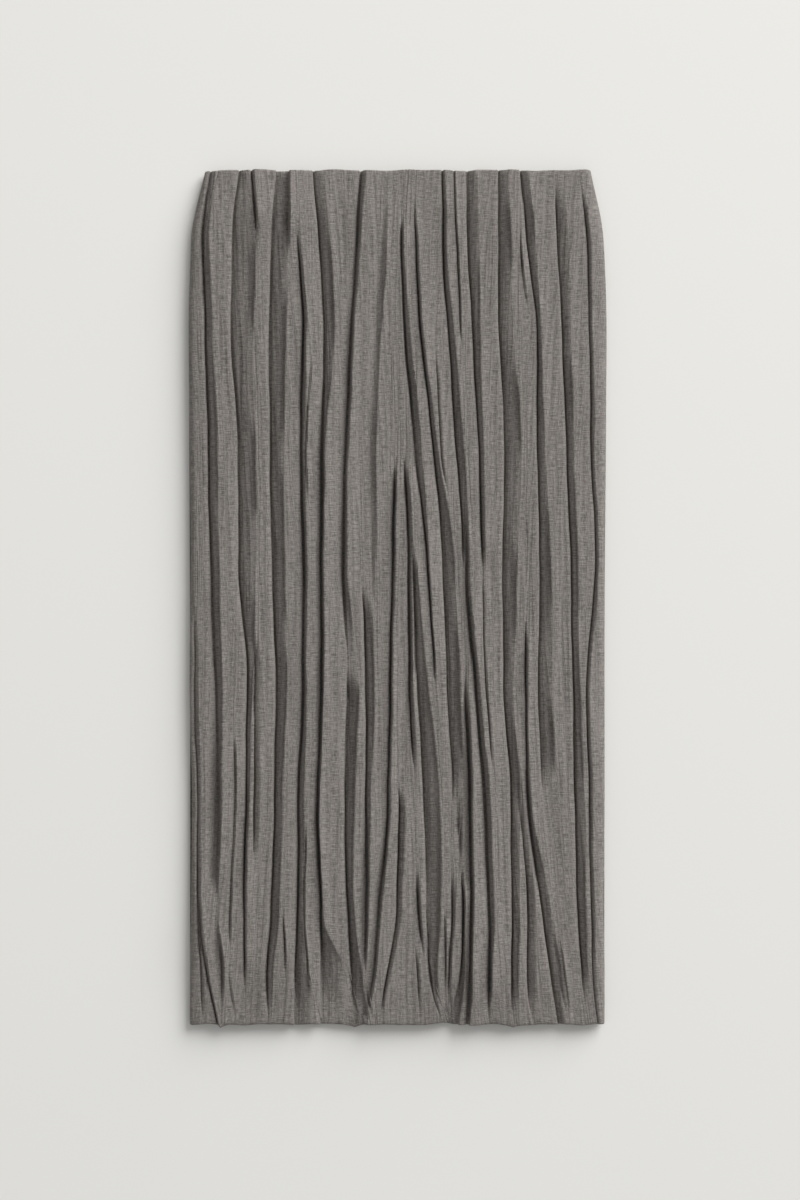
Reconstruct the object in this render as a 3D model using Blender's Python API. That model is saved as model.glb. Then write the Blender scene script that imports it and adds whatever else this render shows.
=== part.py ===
"""Pull-on midi skirt in crinkle-pleated cloth, laid flat on its back.

The skirt lies on the XY plane with its waist towards +Y, and +Z is up. A front and a back panel
lie on each other and meet at the two side seams. Each is one wall of cloth, crossed from waist to
hem by long uneven pleats. A pleat is a fold line with a steep wall on its left, the fall, and a
slanted strip on its right, the lap, which climbs back to the flat of the cloth. The turned-in waist
casing and the turned-up hem follow their panel's own points on the inside.
"""

from typing import NamedTuple

import bpy
import numpy as np

MM = 0.001

# Driving dimensions, in metres
LENGTH = 0.854
WALL = 0.0016
SEAM_GAP = 0.0003
DEEPEST_FRONT = 0.0088
DEEPEST_BACK = 0.0044
SIDE_ROUND = 0.016
CASING_DEPTH = 0.032
HEM_DEPTH = 0.017
TURNING_WALL = 0.0010
TURNING_INSET = 0.006

# A full pleat's crevice, how steeply its lap climbs from there, and the most that it climbs
FRONT_CREVICE = 0.0030
FRONT_SLOPE = 0.42
BACK_CREVICE = 0.0015
BACK_SLOPE = 0.20
MOST_CLIMB = 0.0052

# How far the pleats lie open at the waist casing and the hem, and over what length they deepen
EASED_SHARE = 0.6
EASE_LENGTH = 0.050
FADE_LENGTH = 0.030

# How far up from the hem edge its pinched tips begin to form
HEM_DROP_LENGTH = 0.068

# Heights over the floor: the back's flats lie on it, and the front's flats are the top
MEETING_HEIGHT = DEEPEST_BACK + WALL + SEAM_GAP / 2
FRONT_FLAT = MEETING_HEIGHT + SEAM_GAP / 2 + WALL + DEEPEST_FRONT

# Mesh rows between the two turnings, as shares of the length down from the waist edge
MIDDLE_ROWS = (0.082, 0.150, 0.235, 0.330, 0.430, 0.525, 0.615, 0.700, 0.780, 0.865, 0.930)
LEAST_COLUMN_STEP = 0.0004
RIM_STEP = 0.0018

# Colours of the cloth's two faces, and its roughness
OUTSIDE = (0.21, 0.20, 0.19)
INSIDE = (0.17, 0.165, 0.155)
CLOTH_ROUGHNESS = 0.85

# Distances down from the waist edge at which the tables below give a line's place, in mm
FRONT_STATIONS = {
    "waist": 0, "high_hip": 70, "hip": 160, "thigh": 280, "low_thigh": 390,
    "knee": 510, "shin": 630, "calf": 740, "above_hem": 800, "hem": 854,
}
BACK_STATIONS = {"waist": 0, "high_hip": 70, "hip": 160, "knee": 510, "calf": 740, "hem": 854}


class Run(NamedTuple):
    """A stretch of a fold line where the fold is shut: from, to (mm down) and depth share."""

    start: float
    end: float
    depth: float


class Fold(NamedTuple):
    """One pleat, in mm: its line's x and its lap's width at each station, its runs and its fall."""

    name: str
    line: tuple
    lap: tuple
    runs: tuple
    fall: float = 2


class Panel(NamedTuple):
    """One side of the skirt: its side seams' x at each station, in mm, its folds and depths."""

    stations: dict
    left: tuple
    right: tuple
    folds: tuple
    crevice: float
    slope: float
    deepest: float


# name, line at each station, lap at each station or all along, runs
FRONT_FOLDS = (
    Fold("left_edge", (-190, -203, -206, -206, -206, -205, -205, -204, -203, -202), (7,),
         (Run(440, 720, 0.6),)),
    Fold("left_low", (-189, -200, -202, -201, -200, -199, -199, -198.5, -191.5, -179.5), (5,),
         (Run(680, 854, 0.9),)),
    Fold("left_outer", (-187.5, -195, -192.5, -189.6, -187, -182, -178.5, -182, -175, -177),
         (8, 8, 9, 11, 10, 8, 6, 3, 4, 4), (Run(0, 725, 1.0), Run(745, 835, 0.6))),
    Fold("left_wide", (-158, -165.5, -166.5, -159.5, -159, -150.5, -152, -154, -147, -145),
         (9, 18, 19, 16, 13, 5, 5, 4.5, 4, 4), (Run(10, 815, 0.9),)),
    Fold("left_waist", (-146, -141.5, -143, -142, -142, -142.5, -143.5, -143, -138, -136),
         (3, 3, 3, 3, 3, 8, 8, 5, 5, 5), (Run(0, 66, 0.8), Run(460, 690, 0.5))),
    Fold("left_main", (-121, -126, -128.5, -127.7, -126, -122, -123.5, -127, -131.5, -127.5),
         (12, 16, 16, 14, 12, 10.5, 9, 10, 8, 6), (Run(0, 845, 1.0),)),
    Fold("left_waist_inner", (-110, -109, -111, -112, -110, -108, -110, -114, -112.5, -112), (3.5,),
         (Run(0, 75, 0.8), Run(735, 805, 0.45))),
    Fold("left_hip", (-101, -99.5, -95, -97, -94, -94.5, -99.5, -100.2, -103.3, -102.5),
         (5, 5, 5, 6, 4.5, 4.5, 7, 7, 5, 4), (Run(62, 854, 1.05),)),
    Fold("left_deep", (-84.5, -79.5, -74, -75.3, -76, -75.5, -79.8, -77, -76.8, -77.3),
         (10, 12, 9, 4, 3, 3, 3, 3, 6, 22), (Run(0, 854, 1.25),)),
    Fold("left_inner", (-37, -41, -46.2, -52, -54.5, -50.5, -53.5, -50.6, -47, -42),
         (10, 14, 10, 4, 4.5, 5, 10, 8, 7, 6), (Run(0, 490, 1.0), Run(500, 854, 1.15))),
    Fold("left_knee", (-32, -33, -35, -38, -36.5, -32.5, -31, -27.5, -31, -39),
         (8, 8, 8, 8, 10, 10, 8, 3, 3, 3), (Run(415, 800, 0.95),)),
    Fold("left_soft", (-24, -26, -24, -25, -26, -22, -20, -21, -27, -37), (6,),
         (Run(20, 450, 0.8),), fall=12),
    Fold("centre_low", (-7, -10, -8, -3, -5.3, -8, -9.8, -15, -24, -35), (3.5,), (Run(290, 854, 1.0),), fall=4),
    Fold("centre_left", (-2, -6, -4, 0, 0, 0, 0.5, -7.5, -13, -16), (6,), (Run(610, 845, 0.55),)),
    Fold("centre_hem", (0, -3, 0, 3, 4, 4, 8, 14, 19.5, 22), (5,), (Run(770, 842, 0.4),)),
    Fold("centre_pinch", (2, 0, 3, 6, 10.3, 11, 17, 19.5, 27, 46), (5, 5, 5, 5, 5, 5, 5, 4, 4, 4),
         (Run(287, 595, 1.1), Run(700, 854, 0.85))),
    Fold("centre_shin", (5, 1.5, 5, 11, 16, 21.5, 26, 30, 34, 46.5), (8, 8, 8, 8, 8, 12, 16, 16, 8, 4),
         (Run(425, 770, 0.95),)),
    Fold("centre_top", (8, 3, 6.5, 17, 28.5, 36, 38, 43, 43, 47), (4, 4, 6, 8, 3.5, 3, 3, 3, 3, 3),
         (Run(8, 505, 0.95), Run(735, 820, 0.6))),
    Fold("centre_long", (16, 17, 22.5, 35, 44, 48.5, 54, 53, 51, 48), (7, 7, 7, 8, 13, 15, 16, 5, 5, 5),
         (Run(30, 600, 1.0), Run(700, 790, 0.6))),
    Fold("centre_notch", (30, 31, 36, 49, 56, 54, 57.5, 63, 58, 49), (5,), (Run(598, 688, 0.8),)),
    Fold("right_inner", (44, 44, 49.5, 61, 65, 64, 72, 71, 61.5, 50), (5, 5, 7, 9, 7, 5, 3.5, 4, 13, 25),
         (Run(0, 400, 1.0), Run(535, 854, 1.25))),
    Fold("right_shin", (56, 58, 62, 66, 68, 76.5, 87.5, 92.5, 97.5, 92), (5, 5, 5, 4, 4, 5, 6.5, 6, 3, 3),
         (Run(335, 850, 1.2),)),
    Fold("right_top", (67.5, 69, 73.5, 80, 83.3, 87, 96, 99, 102, 100), (12, 13, 12, 8, 5, 4, 4, 4, 4, 4),
         (Run(0, 400, 1.0), Run(400, 600, 0.35))),
    Fold("right_wide", (100.5, 99.4, 100.5, 106, 104, 105, 112, 113, 113, 114),
         (11, 14, 15, 15, 13, 12, 12, 9, 8, 7), (Run(0, 840, 0.85),)),
    Fold("right_low", (110, 111, 113, 119, 117, 119, 128, 129.6, 128.5, 134),
         (5, 5, 5, 5, 5, 5, 9, 12, 12, 8), (Run(560, 842, 0.75),)),
    Fold("right_notch", (116, 117, 122, 126, 128, 126.5, 136, 144.5, 152, 160),
         (4, 4, 4, 4, 4, 3.5, 4, 11, 12, 9), (Run(340, 378, 0.35), Run(450, 854, 0.9))),
    Fold("right_tuck", (121, 121.5, 126, 132, 134, 134, 141, 152, 157, 165), (2.5,), (Run(58, 102, 0.6),)),
    Fold("right_main", (126, 126.5, 135, 141, 141, 141, 145, 156, 161, 169), (9, 10, 9, 10, 10, 9, 13, 9, 9, 9),
         (Run(0, 625, 0.85),)),
    Fold("right_outer", (156, 158.5, 163, 167.5, 171.5, 173.8, 175.7, 178.8, 182.5, 189),
         (11, 12, 9, 8.5, 8, 8, 11, 9, 7, 6), (Run(15, 854, 0.9),)),
    Fold("right_edge", (181, 187.5, 191.5, 192, 196.5, 189.6, 189.5, 192, 194, 199), (7,),
         (Run(15, 854, 0.7),)),
)

BACK_FOLDS = (
    Fold("back_01", (-176, -190, -192, -189, -186, -190), (9,), (Run(0, 854, 0.8),)),
    Fold("back_02", (-150, -160, -163, -158, -161, -158), (11,), (Run(0, 700, 0.9),)),
    Fold("back_03", (-128, -136, -139, -141, -136, -139), (9,), (Run(90, 854, 0.9),)),
    Fold("back_04", (-103, -110, -112, -108, -112, -108), (12,), (Run(0, 854, 1.0),)),
    Fold("back_05", (-86, -90, -92, -95, -90, -93), (8,), (Run(200, 780, 0.7),)),
    Fold("back_06", (-64, -67, -68, -66, -71, -66), (10,), (Run(0, 854, 1.1),)),
    Fold("back_07", (-40, -42, -41, -46, -42, -44), (9,), (Run(0, 560, 0.9),)),
    Fold("back_08", (-22, -24, -25, -22, -24, -19), (9,), (Run(0, 854, 0.9),)),
    Fold("back_09", (12, 14, 15, 14, 11, 15), (11,), (Run(0, 854, 0.8),)),
    Fold("back_10", (33, 36, 37, 33, 36, 34), (8,), (Run(110, 854, 1.0),)),
    Fold("back_11", (52, 56, 58, 61, 57, 60), (12,), (Run(0, 854, 1.0),)),
    Fold("back_12", (79, 82, 83, 80, 85, 81), (9,), (Run(0, 640, 0.8),)),
    Fold("back_13", (97, 102, 104, 107, 103, 108), (11,), (Run(0, 854, 1.1),)),
    Fold("back_14", (121, 127, 130, 126, 131, 128), (9,), (Run(260, 854, 0.8),)),
    Fold("back_15", (143, 150, 152, 154, 150, 155), (12,), (Run(0, 854, 0.9),)),
    Fold("back_16", (165, 175, 178, 175, 179, 176), (10,), (Run(0, 854, 0.8),)),
)

FRONT = Panel(
    FRONT_STATIONS,
    (-191, -206, -208, -208, -208, -207, -207, -207, -207, -207),
    (192, 205, 208, 207, 206, 206, 206, 206, 206, 206),
    FRONT_FOLDS,
    FRONT_CREVICE,
    FRONT_SLOPE,
    DEEPEST_FRONT,
)
BACK = Panel(
    BACK_STATIONS,
    (-191, -206, -208, -207, -207, -207),
    (192, 205, 208, 206, 206, 206),
    BACK_FOLDS,
    BACK_CREVICE,
    BACK_SLOPE,
    DEEPEST_BACK,
)


class Pinch(NamedTuple):
    """A place where pleats pull the hem edge down into a small tip: x, drop and reach, in mm."""

    x: float
    drop: float
    reach: float


HEM_PINCHES = (
    Pinch(-176, 3.0, 9),
    Pinch(-43, 3.5, 12),
    Pinch(0, 1.5, 30),
    Pinch(46, -1.5, 14),
    Pinch(115, 3.0, 16),
)


def gentle_slopes(at, value):
    """A slope at each station that never carries the curve past its neighbouring stations."""
    steps = np.diff(value) / np.diff(at)
    before, after = steps[:-1], steps[1:]
    turning = before * after <= 0
    mean = 2 * before * after / np.where(turning, 1, before + after)
    return np.concatenate([steps[:1], np.where(turning, 0, mean), steps[-1:]])


def smooth_line(stations, values, down):
    """The value at distances down from the waist, on a smooth curve through the stations."""
    at = np.array(list(stations.values())) * MM
    value = np.array(values) * MM
    slope = gentle_slopes(at, value)
    left = np.clip(np.searchsorted(at, down, side="right") - 1, 0, len(at) - 2)
    span = at[left + 1] - at[left]
    t = np.clip((down - at[left]) / span, 0, 1)
    return (
        (1 + 2 * t) * (1 - t) ** 2 * value[left]
        + t * (1 - t) ** 2 * span * slope[left]
        + t**2 * (3 - 2 * t) * value[left + 1]
        + t**2 * (t - 1) * span * slope[left + 1]
    )


def smooth_step(low, high, value):
    """0 up to low, 1 from high on, and a smooth climb between them."""
    t = np.clip((value - low) / (high - low), 0, 1)
    return t * t * (3 - 2 * t)


def fold_lap(panel, fold, down):
    """The width of a fold's lap at distances down from the waist, in metres."""
    widths = fold.lap if len(fold.lap) > 1 else fold.lap * len(panel.stations)
    return smooth_line(panel.stations, widths, down)


def fold_depth(panel, fold, down):
    """How deep a fold is at distances down from the waist, in metres."""
    depth = np.zeros_like(down)
    for run in fold.runs:
        start, end = run.start * MM, run.end * MM
        opened = np.ones_like(down)
        if run.start > 0:
            opened = smooth_step(start, start + FADE_LENGTH, down)
        if run.end < LENGTH / MM:
            opened = opened * (1 - smooth_step(end - FADE_LENGTH, end, down))
        depth = np.maximum(depth, run.depth * opened)
    from_casing = smooth_step(CASING_DEPTH, CASING_DEPTH + EASE_LENGTH, down)
    from_hem = smooth_step(HEM_DEPTH, HEM_DEPTH + EASE_LENGTH, LENGTH - down)
    eased = EASED_SHARE + (1 - EASED_SHARE) * np.minimum(from_casing, from_hem)
    climb = np.minimum(panel.slope * fold_lap(panel, fold, down), MOST_CLIMB)
    return (panel.crevice + climb) * depth * eased


def row_distances():
    """Distances of the mesh rows down from the waist edge, with one at the end of each turning."""
    middle = np.array(MIDDLE_ROWS) * LENGTH
    return np.concatenate([[0, CASING_DEPTH], middle, [LENGTH - HEM_DEPTH, LENGTH]])


def column_places(panel, down):
    """The x of each mesh column on each row: seam, rim, then brink, line and ridge of each fold."""
    left = smooth_line(panel.stations, panel.left, down)
    right = smooth_line(panel.stations, panel.right, down)
    columns = [left, left + RIM_STEP]
    for fold in panel.folds:
        line = smooth_line(panel.stations, fold.line, down)
        columns += [line - fold.fall * MM, line, line + fold_lap(panel, fold, down)]
    columns += [right - RIM_STEP, right]
    places = np.array(columns).T
    for k in range(1, places.shape[1]):
        places[:, k] = np.maximum(places[:, k], places[:, k - 1] + LEAST_COLUMN_STEP)
    places[:, -1] = right
    for k in range(places.shape[1] - 2, 0, -1):
        places[:, k] = np.minimum(places[:, k], places[:, k + 1] - LEAST_COLUMN_STEP)
    return places


def fold_dip(panel, x, down):
    """How far the cloth lies in from its flats, at x (rows by columns) and rows' distance down."""
    dip = np.zeros_like(x)
    for fold in panel.folds:
        offset = x - smooth_line(panel.stations, fold.line, down)[:, None]
        fall = np.clip(1 + offset / (fold.fall * MM), 0, 1)
        lap = np.clip(1 - offset / fold_lap(panel, fold, down)[:, None], 0, 1)
        dip = np.maximum(dip, fold_depth(panel, fold, down)[:, None] * np.minimum(fall, lap))
    return np.minimum(dip, panel.deepest)


def side_roll(panel, x, down):
    """0 at the side seams and 1 from SIDE_ROUND in from them, along a quarter round."""
    left = smooth_line(panel.stations, panel.left, down)[:, None]
    right = smooth_line(panel.stations, panel.right, down)[:, None]
    inward = np.minimum(x - left, right - x) / SIDE_ROUND
    return np.sqrt(np.clip(1 - (1 - np.clip(inward, 0, 1)) ** 2, 0, 1))


def hem_drop(x):
    """How far the pinched hem edge hangs below its straight line, at each x."""
    drop = np.zeros_like(x)
    for pinch in HEM_PINCHES:
        apart = np.abs(x / MM - pinch.x) / pinch.reach
        drop = drop + pinch.drop * MM * np.clip(1 - apart, 0, 1) ** 2
    return drop


def panel_places(panel):
    """The x, y and distance in from the flats of a panel's points, as rows by columns."""
    down = row_distances()
    x = column_places(panel, down)
    near_hem = smooth_step(LENGTH - HEM_DROP_LENGTH, LENGTH, down)[:, None]
    y = LENGTH / 2 - down[:, None] - near_hem * hem_drop(x)
    return x, y, fold_dip(panel, x, down), side_roll(panel, x, down)


def front_heights(dip, roll):
    """The top and underside of the front panel's wall."""
    seam = MEETING_HEIGHT + SEAM_GAP / 2 + WALL
    top = seam + (FRONT_FLAT - dip - seam) * roll
    return top, top - WALL


def back_heights(dip, roll):
    """The top and underside of the back panel's wall, whose flats lie on the floor."""
    seam = MEETING_HEIGHT - SEAM_GAP / 2 - WALL
    bottom = seam + (dip - seam) * roll
    return bottom + WALL, bottom


def wall_faces(rows, columns):
    """Triangles that close a wall of two point grids, the top one first, facing outwards."""
    index = np.arange(rows * columns).reshape(rows, columns)
    under = index + rows * columns
    a, b, c, d = index[:-1, :-1], index[:-1, 1:], index[1:, 1:], index[1:, :-1]
    top = np.concatenate([np.stack([a, d, c], -1), np.stack([a, c, b], -1)]).reshape(-1, 3)
    faces = [top, top[:, ::-1] + rows * columns]
    rim = np.concatenate([index[0, :-1], index[:-1, -1], index[-1, :0:-1], index[:0:-1, 0]])
    low = np.concatenate([under[0, :-1], under[:-1, -1], under[-1, :0:-1], under[:0:-1, 0]])
    ahead, low_ahead = np.roll(rim, -1), np.roll(low, -1)
    faces.append(np.stack([rim, ahead, low], -1))
    faces.append(np.stack([ahead, low_ahead, low], -1))
    return np.concatenate(faces)


def cloth_material(name, colour, roughness):
    """A plain finish for one piece."""
    material = bpy.data.materials.new(name)
    material.use_nodes = True
    shader = material.node_tree.nodes["Principled BSDF"]
    shader.inputs["Base Color"].default_value = (*colour, 1.0)
    shader.inputs["Roughness"].default_value = roughness
    shader.inputs["Metallic"].default_value = 0.0
    return material


def add_wall(name, x, y, top, bottom, shift, colour):
    """Adds one closed wall of cloth as an object, moved along Y by shift."""
    points = np.concatenate([
        np.stack([x, y + shift, top], -1).reshape(-1, 3),
        np.stack([x, y + shift, bottom], -1).reshape(-1, 3),
    ])
    mesh = bpy.data.meshes.new(name)
    mesh.from_pydata(points.tolist(), [], wall_faces(*x.shape).tolist())
    mesh.update()
    mesh.materials.append(cloth_material(name, colour, CLOTH_ROUGHNESS))
    bpy.context.scene.collection.objects.link(bpy.data.objects.new(name, mesh))


def inside_columns(panel, x, down):
    """The columns that a turning keeps: those that lie clear of both side seams on every row."""
    left = smooth_line(panel.stations, panel.left, down)[:, None] + TURNING_INSET
    right = smooth_line(panel.stations, panel.right, down)[:, None] - TURNING_INSET
    return np.all((x > left) & (x < right), axis=0)


def add_turning(name, panel, rows, places, inner, inward, shift, colour):
    """Adds a turned-in strip from a panel's own points on its inner side, moved in by the gap."""
    x, y = places
    down = row_distances()[rows]
    kept = inside_columns(panel, x[rows], down)
    strip_x, strip_y = x[rows][:, kept], y[rows][:, kept]
    near = inner[rows][:, kept] + inward * SEAM_GAP
    far = near + inward * TURNING_WALL
    add_wall(name, strip_x, strip_y, np.maximum(near, far), np.minimum(near, far), shift, colour)


def clear_scene():
    """Removes every object, so that the skirt is alone."""
    for obj in list(bpy.data.objects):
        bpy.data.objects.remove(obj, do_unlink=True)


def main():
    """Builds the two panels, then the waist casing and the hem turning of each."""
    clear_scene()
    front_x, front_y, front_dip, front_roll = panel_places(FRONT)
    back_x, back_y, back_dip, back_roll = panel_places(BACK)
    every_y = np.concatenate([front_y.ravel(), back_y.ravel()])
    shift = -(every_y.max() + every_y.min()) / 2
    front_top, front_under = front_heights(front_dip, front_roll)
    back_top, back_under = back_heights(back_dip, back_roll)
    add_wall("front_panel", front_x, front_y, front_top, front_under, shift, OUTSIDE)
    add_wall("back_panel", back_x, back_y, back_top, back_under, shift, OUTSIDE)
    waist, hem = slice(0, 2), slice(-2, None)
    sides = (
        ("front", FRONT, (front_x, front_y), front_under, -1),
        ("back", BACK, (back_x, back_y), back_top, 1),
    )
    for side, panel, places, inner, inward in sides:
        add_turning(f"{side}_waist_casing", panel, waist, places, inner, inward, shift, INSIDE)
        add_turning(f"{side}_hem_turning", panel, hem, places, inner, inward, shift, INSIDE)


main()
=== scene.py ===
"""Finish of a pull-on midi skirt in crinkle-pleated grey melange cloth, laid flat on its back.

Front and back are each one sheet of cloth: turned in at the waist over the elastic, pleated from
waist to hem, and turned up at the hem. The sheet's mesh columns follow the pleats, so a fold keeps
a crisp edge all the way down. Hem stitches lie on top, and the weave is in the cloth's material.
"""

import logging
import math
from dataclasses import dataclass
from enum import Enum
from typing import Any, Sequence

import bpy
import numpy as np
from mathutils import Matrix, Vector


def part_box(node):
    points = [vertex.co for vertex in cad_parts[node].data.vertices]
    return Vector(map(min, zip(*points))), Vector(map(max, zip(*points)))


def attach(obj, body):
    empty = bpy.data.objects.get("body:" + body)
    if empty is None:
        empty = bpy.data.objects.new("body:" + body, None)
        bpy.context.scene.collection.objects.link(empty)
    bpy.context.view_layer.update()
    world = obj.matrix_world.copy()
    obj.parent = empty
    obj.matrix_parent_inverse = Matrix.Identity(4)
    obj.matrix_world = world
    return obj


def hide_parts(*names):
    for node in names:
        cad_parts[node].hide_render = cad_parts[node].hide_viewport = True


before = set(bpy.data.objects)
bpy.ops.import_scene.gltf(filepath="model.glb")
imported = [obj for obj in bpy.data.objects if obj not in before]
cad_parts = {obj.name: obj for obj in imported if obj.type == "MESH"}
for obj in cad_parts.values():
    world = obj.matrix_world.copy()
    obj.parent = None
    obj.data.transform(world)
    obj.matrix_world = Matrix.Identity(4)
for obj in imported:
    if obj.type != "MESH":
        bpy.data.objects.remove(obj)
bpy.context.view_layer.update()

LOG = logging.getLogger("skirt")
MM = 0.001


# ---------------------------------------------------------------------------------------------
# Small helpers
# ---------------------------------------------------------------------------------------------

def linear_colour(code: str) -> tuple[float, float, float, float]:
    """Turns an sRGB hex colour into linear values.

    Args:
        code: Six hex digits, such as "8A8680".

    Returns:
        Red, green, blue and an alpha of 1.
    """
    parts = [int(code[i:i + 2], 16) / 255 for i in (0, 2, 4)]
    red, green, blue = (
        part / 12.92 if part <= 0.04045 else ((part + 0.055) / 1.055) ** 2.4 for part in parts
    )
    return red, green, blue, 1.0


def smooth_step(low: float, high: float, value: np.ndarray) -> np.ndarray:
    """Climbs smoothly from 0 at low to 1 at high.

    Args:
        low: Where the climb starts.
        high: Where it ends.
        value: Places to read it at.

    Returns:
        One share from 0 to 1 for each place.
    """
    t = np.clip((value - low) / (high - low), 0, 1)
    return t * t * (3 - 2 * t)


def smooth_line(stations: Sequence[float], values: Sequence[float], down: np.ndarray) -> np.ndarray:
    """Reads a smooth curve through table values that never runs past its neighbouring stations.

    Args:
        stations: Distances down from the waist, in mm.
        values: The table's value at each station.
        down: Distances down from the waist, in mm.

    Returns:
        The curve's value at each distance.
    """
    at, value = np.array(stations, float), np.array(values, float)
    steps = np.diff(value) / np.diff(at)
    before, after = steps[:-1], steps[1:]
    turning = before * after <= 0
    mean = 2 * before * after / np.where(turning, 1, before + after)
    slope = np.concatenate([steps[:1], np.where(turning, 0, mean), steps[-1:]])
    left = np.clip(np.searchsorted(at, down, side="right") - 1, 0, len(at) - 2)
    span = at[left + 1] - at[left]
    t = np.clip((down - at[left]) / span, 0, 1)
    return (
        (1 + 2 * t) * (1 - t) ** 2 * value[left]
        + t * (1 - t) ** 2 * span * slope[left]
        + t**2 * (3 - 2 * t) * value[left + 1]
        + t**2 * (t - 1) * span * slope[left + 1]
    )


def crinkle(across: np.ndarray, along: np.ndarray, seed: int) -> np.ndarray:
    """Smooth random relief on a lattice of unit cells.

    Args:
        across: Place across the cloth, in cells.
        along: Place along the cloth, in cells, in the same shape.
        seed: Which relief to draw.

    Returns:
        Values from about -1 to 1 in the same shape.
    """
    lattice = np.random.default_rng(seed).uniform(-1, 1, (512, 64))
    i, j = np.floor(across).astype(int), np.floor(along).astype(int)
    s, t = across - i, along - j
    s, t = s * s * (3 - 2 * s), t * t * (3 - 2 * t)
    low = lattice[i % 512, j % 64] * (1 - s) + lattice[(i + 1) % 512, j % 64] * s
    high = lattice[i % 512, (j + 1) % 64] * (1 - s) + lattice[(i + 1) % 512, (j + 1) % 64] * s
    return low * (1 - t) + high * t


# ---------------------------------------------------------------------------------------------
# The pleats, as tables in mm from the centre line and down from the waist edge
# ---------------------------------------------------------------------------------------------

class Side(Enum):
    """Which way a sheet's outside faces, as the sign of its Z."""

    FRONT = 1
    BACK = -1


@dataclass(frozen=True)
class Run:
    """A stretch of a fold line where the fold is shut.

    Attributes:
        start: Where it starts to close, in mm down.
        end: Where it has opened again, in mm down.
        depth: Its depth, as a share of a full pleat.
        fade: The length over which it opens at each end.
    """

    start: float
    end: float
    depth: float
    fade: float = 30.0


@dataclass(frozen=True)
class Fold:
    """One pleat of a sheet.

    Attributes:
        line: The x of the bottom of its crevice at each station.
        lap: Width of the strip on its right, up to the ridge: at each station, or one.
        runs: The stretches where it is shut.
        fall: Width of the wall, or of the sunken strip, on its left: at each station, or one.
        shelf: Depth of the sunken strip on its left, in mm, or 0 for a plain wall.
        riser: Share of the lap's climb that is left to a sharp step at the ridge.
        slot: How much of a crevice it has, from 0 for a soft trough to 1.
        minor: Whether it is a slight crease, which a few mesh columns can draw.
    """

    line: tuple[float, ...]
    lap: tuple[float, ...]
    runs: tuple[Run, ...]
    fall: tuple[float, ...] = (2.0,)
    shelf: tuple[float, ...] = (0.0,)
    riser: tuple[float, ...] = (0.35,)
    slot: float = 1.0
    minor: bool = False


@dataclass(frozen=True)
class Pinch:
    """A place where pleats pull the hem edge.

    Attributes:
        x: Its place from the centre line.
        drop: How far it hangs below the straight hem.
        reach: How far it spreads to each side.
    """

    x: float
    drop: float
    reach: float


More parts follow.
